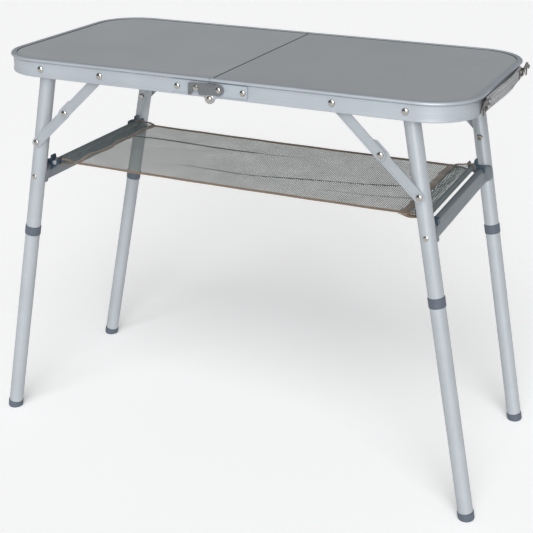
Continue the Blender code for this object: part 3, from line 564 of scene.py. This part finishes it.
def dress_nodes(materials):
    """Gives every CAD node its material and shades its round faces smoothly."""
    for name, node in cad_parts.items():
        mesh = node.data
        mesh.materials.clear()
        mesh.materials.append(materials[material_key(name)])
        mesh.materials.append(materials["rivet"])
        mesh.materials.append(materials["lip_painted_shade"])
        for face in mesh.polygons:
            face.material_index = 1 if is_rivet_face(name, face.center) else 0
            # The rim's inner wall takes the near-black painted shade
            if name.endswith("_rail") and is_lip_wall(face):
                face.material_index = 2
        smooth_rounds(node)


def smooth_rounds(node):
    """Smooth shading over a CAD node's facets, with hard edges kept where they turn sharply."""
    mesh = node.data
    for name in ("custom_normal", "sharp_edge", "sharp_face"):
        found = mesh.attributes.get(name)
        if found:
            mesh.attributes.remove(found)
    mesh.polygons.foreach_set("use_smooth", [True] * len(mesh.polygons))
    weld = node.modifiers.new("weld", "WELD")
    weld.merge_threshold = WELD_REACH
    split = node.modifiers.new("hard_edges", "EDGE_SPLIT")
    split.split_angle = HARD_EDGE
    node.modifiers.new("even_faces", "WEIGHTED_NORMAL")


# Mesh helpers

def grid_object(name, points, material, uvs=None):
    """A sheet from a 2-D array of points, with a UV map in metres."""
    rows, columns = points.shape[:2]
    faces = []
    for i in range(rows - 1):
        for j in range(columns - 1):
            first = i * columns + j
            faces.append((first, first + 1, first + columns + 1, first + columns))
    mesh = bpy.data.meshes.new(name)
    mesh.from_pydata(points.reshape(-1, 3).tolist(), [], faces)
    flat = points[..., :2] if uvs is None else uvs
    layer = mesh.uv_layers.new(name="UVMap")
    corner_points = np.zeros(len(mesh.loops), np.int32)
    mesh.loops.foreach_get("vertex_index", corner_points)
    layer.data.foreach_set("uv", flat.reshape(-1, 2)[corner_points].astype(np.float32).ravel())
    mesh.polygons.foreach_set("use_smooth", [True] * len(mesh.polygons))
    mesh.materials.append(material)
    made = bpy.data.objects.new(name, mesh)
    bpy.context.scene.collection.objects.link(made)
    return made


def swept(name, path, section, material, up=Vector((0, 0, 1))):
    """A capped strip: a section of (across, up) pairs carried along a path of points."""
    path = [Vector(point) for point in path]
    rings, lengths, along = [], [], 0.0
    for i, point in enumerate(path):
        ahead = path[min(i + 1, len(path) - 1)] - path[max(i - 1, 0)]
        ahead.normalize()
        across = ahead.cross(up).normalized()
        lift = across.cross(ahead).normalized()
        ring = [point + across * a + lift * b for a, b in section]
        rings.append(ring + [ring[0]])
        along += (point - path[i - 1]).length if i else 0.0
        lengths.append(along)
    count = len(section) + 1
    points = np.array([[tuple(point) for point in ring] for ring in rings])
    uvs = np.zeros((len(rings), count, 2))
    uvs[..., 0] = np.array(lengths)[:, None]
    uvs[..., 1] = np.linspace(0, 0.01, count)[None, :]
    made = grid_object(name, points, material, uvs)
    close_ends(made, len(rings), count)
    return made


def close_ends(made, rings, count):
    """Welds a swept tube along its seam and caps both ends."""
    work = bmesh.new()
    work.from_mesh(made.data)
    work.verts.ensure_lookup_table()
    first = [work.verts[i] for i in range(count - 1)]
    last = [work.verts[(rings - 1) * count + i] for i in range(count - 1)]
    work.faces.new(first)
    work.faces.new(last[::-1])
    bmesh.ops.remove_doubles(work, verts=work.verts, dist=1e-7)
    bmesh.ops.recalc_face_normals(work, faces=work.faces)
    work.to_mesh(made.data)
    work.free()


def oval(width, height, steps=10):
    """A flat oval section."""
    return [
        (width / 2 * math.cos(math.tau * i / steps), height / 2 * math.sin(math.tau * i / steps))
        for i in range(steps)
    ]


# Shelf

def band_start(name):
    """The X position where a sleeve ends and its cross band begins."""
    return SLEEVES[name]["side"] * (ROD_X - SLEEVES[name]["width"])


def band_waver(look, y):
    """How far a cross band strays from straight along the shelf's depth."""
    return look["waver"] * (np.sin(y * look["wave"] + 1) + 0.5 * np.sin(y * look["wave"] * 0.51))


def ripple(x, y):
    """Height of the shelf's cloth above its level: sag, soft waves and the long folds."""
    sag = -SHELF_SAG * (1 - (x / ROD_X) ** 2)
    wave = LONG_WAVE * np.sin(x * 31 + 2 * np.sin(y * 17)) + CROSS_WAVE * np.sin(y * 47 + x * 3.0)
    edge = np.clip((SHELF_HALF_DEPTH - np.abs(y)) / CALM_EDGE, 0, 1)
    folds = 0
    for line in FOLD_LINES:
        wander = line["y"] + line["slope"] * x + FOLD_WANDER * np.sin(x * 9 + line["y"] * 40)
        share = np.clip((x - line["faint"]) / (line["strong"] - line["faint"]), 0, 1)
        folds = folds + share * FOLD_HEIGHT * np.exp(-(((y - wander) / FOLD_WIDTH) ** 2))
    return sag + wave * edge + folds


def shelf_level(x, y):
    """Height of the shelf's cloth above the floor."""
    return ROD_Z + ripple(x, y)


def shelf_piece(name, start, end, materials):
    """One stretch of the see-through mesh between two X positions."""
    columns = max(12, int(abs(end - start) / GRID_STEP))
    x = np.linspace(start, end, columns + 1)
    y = np.linspace(-SHELF_HALF_DEPTH, SHELF_HALF_DEPTH, 133)
    grid_x, grid_y = np.meshgrid(x, y, indexing="ij")
    points = np.stack([grid_x, grid_y, shelf_level(grid_x, grid_y)], axis=-1)
    made = grid_object(name, points, materials["mesh"])
    return made


def edge_binding(name, start, end, row, materials):
    """The brown tape folded over one long edge of the mesh."""
    count = max(8, int(abs(end - start) / GRID_STEP))
    path = []
    for i in range(count + 1):
        x = start + (end - start) * i / count
        y = row * (SHELF_HALF_DEPTH - BINDING_WIDTH * 0.35 + BINDING_WAVER * math.sin(x * 60))
        path.append((x, y, shelf_level(np.float64(x), np.float64(row * SHELF_HALF_DEPTH))))
    return swept(name, path, oval(BINDING_WIDTH, BINDING_THICKNESS, 12), materials["binding"])


def stitches(name, points, material, up=Vector((0, 0, 1))):
    """A row of short thread stitches along a line of points."""
    line = np.array([tuple(point) for point in points], float)
    steps = np.linalg.norm(np.diff(line, axis=0), axis=1)
    along = np.concatenate([[0], np.cumsum(steps)])
    pieces_points, pieces_faces = [], []
    at = STITCH_GAP
    while at + STITCH_LENGTH < along[-1]:
        ends = []
        for share in (0, 0.5, 1):
            place = at + share * STITCH_LENGTH
            ends.append(np.array([np.interp(place, along, line[:, k]) for k in range(3)]))
        heading = Vector(ends[2] - ends[0]).normalized()
        across = heading.cross(up).normalized() * STITCH_RADIUS
        lift = Vector(up) * STITCH_RADIUS
        first = len(pieces_points)
        for k, end in enumerate(ends):
            raised = Vector(end) + (lift if k == 1 else Vector((0, 0, 0)))
            for a, b in ((1, 0), (0, 1), (-1, 0), (0, -1)):
                pieces_points.append(tuple(raised + across * a + lift * b))
        for k in range(2):
            for i in range(4):
                j = (i + 1) % 4
                base = first + 4 * k
                pieces_faces.append((base + i, base + j, base + 4 + j, base + 4 + i))
        pieces_faces += [tuple(first + i for i in (3, 2, 1, 0)), tuple(first + 8 + i for i in range(4))]
        at += STITCH_LENGTH + STITCH_GAP
    mesh = bpy.data.meshes.new(name)
    mesh.from_pydata(pieces_points, [], pieces_faces)
    mesh.materials.append(material)
    made = bpy.data.objects.new(name, mesh)
    bpy.context.scene.collection.objects.link(made)
    return made


def bend_pieces(made, first, second, start, end):
    """Bakes each piece's placement into its mesh; the two bodies and X positions are not used."""
    for piece in made:
        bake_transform(piece)


def make_shelf(materials):
    """The mesh in three stretches, with bindings and stitches; the CAD shelf mesh is hidden."""
    pieces = {}
    spans = {
        "left": (band_start("left"), -BLEND_FAR),
        "middle": (-BLEND_FAR, BLEND_FAR),
        "right": (BLEND_FAR, band_start("right")),
    }
    for part, (start, end) in spans.items():
        sheet = shelf_piece(f"shelf_{part}", start, end, materials)
        trims = []
        for row, edge in ((-1, "front"), (1, "rear")):
            trims.append(edge_binding(f"shelf_{part}_{edge}_binding", start, end, row, materials))
            y = row * (SHELF_HALF_DEPTH - BINDING_WIDTH * 0.62)
            line = []
            for x in np.linspace(start, end, max(12, int(abs(end - start) / 0.006))):
                line.append((x, y, shelf_level(x, y) + BINDING_THICKNESS * 0.42))
            trims.append(stitches(f"shelf_{part}_{edge}_stitching", line, materials["brown_thread"]))
        pieces[part] = (sheet, trims)
    bends = {
        "left": ("left_frame", "left_top", -BLEND_NEAR, -BLEND_FAR),
        "middle": ("left_top", "right_top", -MIDDLE_BEND, MIDDLE_BEND),
        "right": ("right_top", "right_frame", BLEND_FAR, BLEND_NEAR),
    }
    for part, bend in bends.items():
        sheet, trims = pieces[part]
        bend_pieces([sheet] + trims, *bend)
    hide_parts("shelf_mesh")


def sleeve_outline(width, gap):
    """The sleeve's section: (distance from the rod towards the middle, height) and its share of wrinkle."""
    radius = SLEEVE_RADIUS
    leave_x, leave_z = radius * math.cos(SLEEVE_LEAVES_ROD), radius * math.sin(SLEEVE_LEAVES_ROD)
    top = []
    for t in np.linspace(0, 1, 16):
        inboard = width + (leave_x - width) * t
        swell = t * t * (3 - 2 * t)
        top.append((inboard, CLOTH_HALF + (leave_z - gap) * swell ** 2.2 + gap * min(1, 4 * t)))
    angles = np.linspace(SLEEVE_LEAVES_ROD, 2 * math.pi - SLEEVE_LEAVES_ROD, 18)
    around = [(radius * math.cos(a), radius * math.sin(a)) for a in angles]
    under = [(x, -z) for x, z in top[::-1]]
    outline = top[:-1] + around + under[1:]
    shares = []
    for inboard, _ in outline:
        shares.append(min(1, max(0, inboard / width - 0.25) * 2) * min(1, (width - inboard) / WRINKLE_FADE))
    return outline, shares


def sleeve(name, materials):
    """The doubled, wrinkled pocket that the end rod runs through."""
    look = SLEEVES[name]
    side, width = look["side"], look["width"]
    outline, shares = sleeve_outline(width, look["open"])
    y = np.linspace(-SHELF_HALF_DEPTH - SLEEVE_OVERHANG, SHELF_HALF_DEPTH + SLEEVE_OVERHANG, 170)
    points = np.zeros((len(outline), len(y), 3))
    uvs = np.zeros((len(outline), len(y), 2))
    along = 0.0
    for i, ((inboard, height), share) in enumerate(zip(outline, shares)):
        if i:
            along += math.dist(outline[i], outline[i - 1])
        face = 1 if i < len(outline) / 2 else -1
        folds = np.sin(y * 210 + 3 * np.sin(y * 60 + face) + inboard * 160) * FINE_WRINKLE
        folds = folds + np.sin(y * 95 + inboard * 240 + 2 * face) * BROAD_WRINKLE
        slack = max(0.0, (inboard / width - 0.5) * 2)
        waver = slack * band_waver(look, y)
        points[i, :, 0] = side * (ROD_X - inboard + waver + PUCKER * share * np.sin(y * 120))
        points[i, :, 1] = y
        calm = np.clip((SHELF_HALF_DEPTH + SLEEVE_OVERHANG - np.abs(y)) / WRINKLE_CALM, 0, 1)
        points[i, :, 2] = ROD_Z + height + calm * share * (folds + face * CLOTH_HALF)
        uvs[i, :, 0] = along
        uvs[i, :, 1] = y + 0.5
    made = grid_object(f"{name}_sleeve", points, materials["sleeve"], uvs)
    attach(made, f"{name}_frame")
    for row, edge in ((-1, "front"), (1, "rear")):
        column = 0 if row < 0 else len(y) - 1
        rim = [tuple(point) for point in points[:, column]]
        piping = swept(f"{name}_sleeve_{edge}_piping", rim, oval(*PIPING), materials["binding"],
                       up=Vector((0, 1, 0)))
        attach(piping, f"{name}_frame")
    cross_band(name, materials)


def cross_band(name, materials):
    """The brown tape sewn across the mesh where the sleeve begins."""
    look = SLEEVES[name]
    side, rows = look["side"], 7
    y = np.linspace(-SHELF_HALF_DEPTH, SHELF_HALF_DEPTH, 130)
    rings = []
    for top in (1, -1):
        across = np.linspace(0, 1, rows) if top > 0 else np.linspace(1, 0, rows)
        for t in across:
            waver = band_waver(look, y)
            fray = BAND_FRAY * np.sin(y * 310 + 5 * t)
            x = band_start(name) + side * (BAND_OVERLAP - look["band"] * t + waver + fray)
            bulge = BAND_BULGE * math.sin(math.pi * t)
            z = shelf_level(x, y) + top * (BAND_HALF + bulge) + BAND_BUCKLE * np.sin(y * 140)
            rings.append(np.stack([x, y, z], axis=-1))
    rings.append(rings[0])
    points = np.array(rings)
    made = grid_object(f"{name}_cross_band", points, materials["binding"], points[..., [1, 0]])
    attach(made, f"{name}_frame")
    return made


def binding_flap(materials):
    """The loose end of binding that hangs at the shelf's front right corner."""
    path = []
    for t in np.linspace(0, 1, 14):
        x = FLAP_START + (ROD_X - 0.004 - FLAP_START) * t
        drop = FLAP_DROP * math.sin(math.pi * min(1, 0.15 + 0.75 * t)) + 0.0015 * (1 - t)
        path.append((x, -SHELF_HALF_DEPTH - 0.0008 * math.sin(5 * t), ROD_Z - drop))
    made = swept("front_binding_flap", path, oval(*FLAP_SECTION), materials["binding"])
    middle = ROD_Z - FLAP_DROP * 0.6
    for vertex in made.data.vertices:
        near = max(0.15, (vertex.co.x - FLAP_START) / FLAP_TAPER)
        if near < 1:
            vertex.co.z = middle + (vertex.co.z - middle) * near
    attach(made, "right_frame")


# Handle strap

def strap_path(count=60):
    """Points down the middle of the strap, from its front end to its rear end."""
    path = []
    for i in range(count + 1):
        along = -1 + 2 * i / count
        free = min(1.0, abs(along) * STRAP_HALF / STRAP_FREE)
        swell = math.cos(free * math.pi / 2) ** 1.5
        path.append(Vector((STRAP_X + STRAP_BOW * swell, STRAP_HALF * along, STRAP_Z + STRAP_RISE * swell)))
    return path


def strap_section():
    """The webbing's section with soft selvedges and shallow lengthwise ribs."""
    half, thick = STRAP_HEIGHT / 2, STRAP_THICKNESS / 2
    outer = []
    steps = 4 * STRAP_RIBS
    for i in range(steps + 1):
        up = -half + 2 * half * i / steps
        rib = RIB_DEPTH * math.cos(math.tau * STRAP_RIBS * i / steps)
        edge = min(1.0, (half - abs(up)) / SELVEDGE)
        outer.append((thick * (0.45 + 0.55 * math.sqrt(max(edge, 0))) - rib, up))
    inner = [(-a, b) for a, b in outer[::-1]]
    return outer + inner


def make_strap(materials):
    """The carrying strap with a row of stitches along each edge of its two sewn ends."""
    strap = swept("webbing_strap", strap_path(), strap_section(), materials["webbing"])
    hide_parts("handle_strap")
    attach(strap, "right_top")
    for row, edge in ((-1, "front"), (1, "rear")):
        for lift in (-SEAM_LIFT, SEAM_LIFT):
            line = [point + Vector((STRAP_THICKNESS / 2 + 0.0001, 0, lift)) for point in strap_path(120)]
            line = [point for point in line if SEAM_START < row * point.y < SEAM_END]
            seam = stitches(f"strap_{edge}_seam_{'low' if lift < 0 else 'high'}", line, materials["thread"],
                            up=Vector((1, 0, 0)))
            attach(seam, "right_top")


def make_floor(materials):
    """A plain floor just under the feet."""
    bpy.ops.mesh.primitive_circle_add(
        vertices=96, radius=FLOOR_RADIUS, fill_type="NGON", location=(0, 0, FLOOR_Z))
    floor = bpy.context.active_object
    floor.name = "studio_floor"
    floor.data.materials.append(materials["floor"])


make_camera()
make_light()
all_materials = make_materials()
dress_nodes(all_materials)
make_shelf(all_materials)
for shelf_end in SLEEVES:
    sleeve(shelf_end, all_materials)
binding_flap(all_materials)
make_strap(all_materials)
make_floor(all_materials)
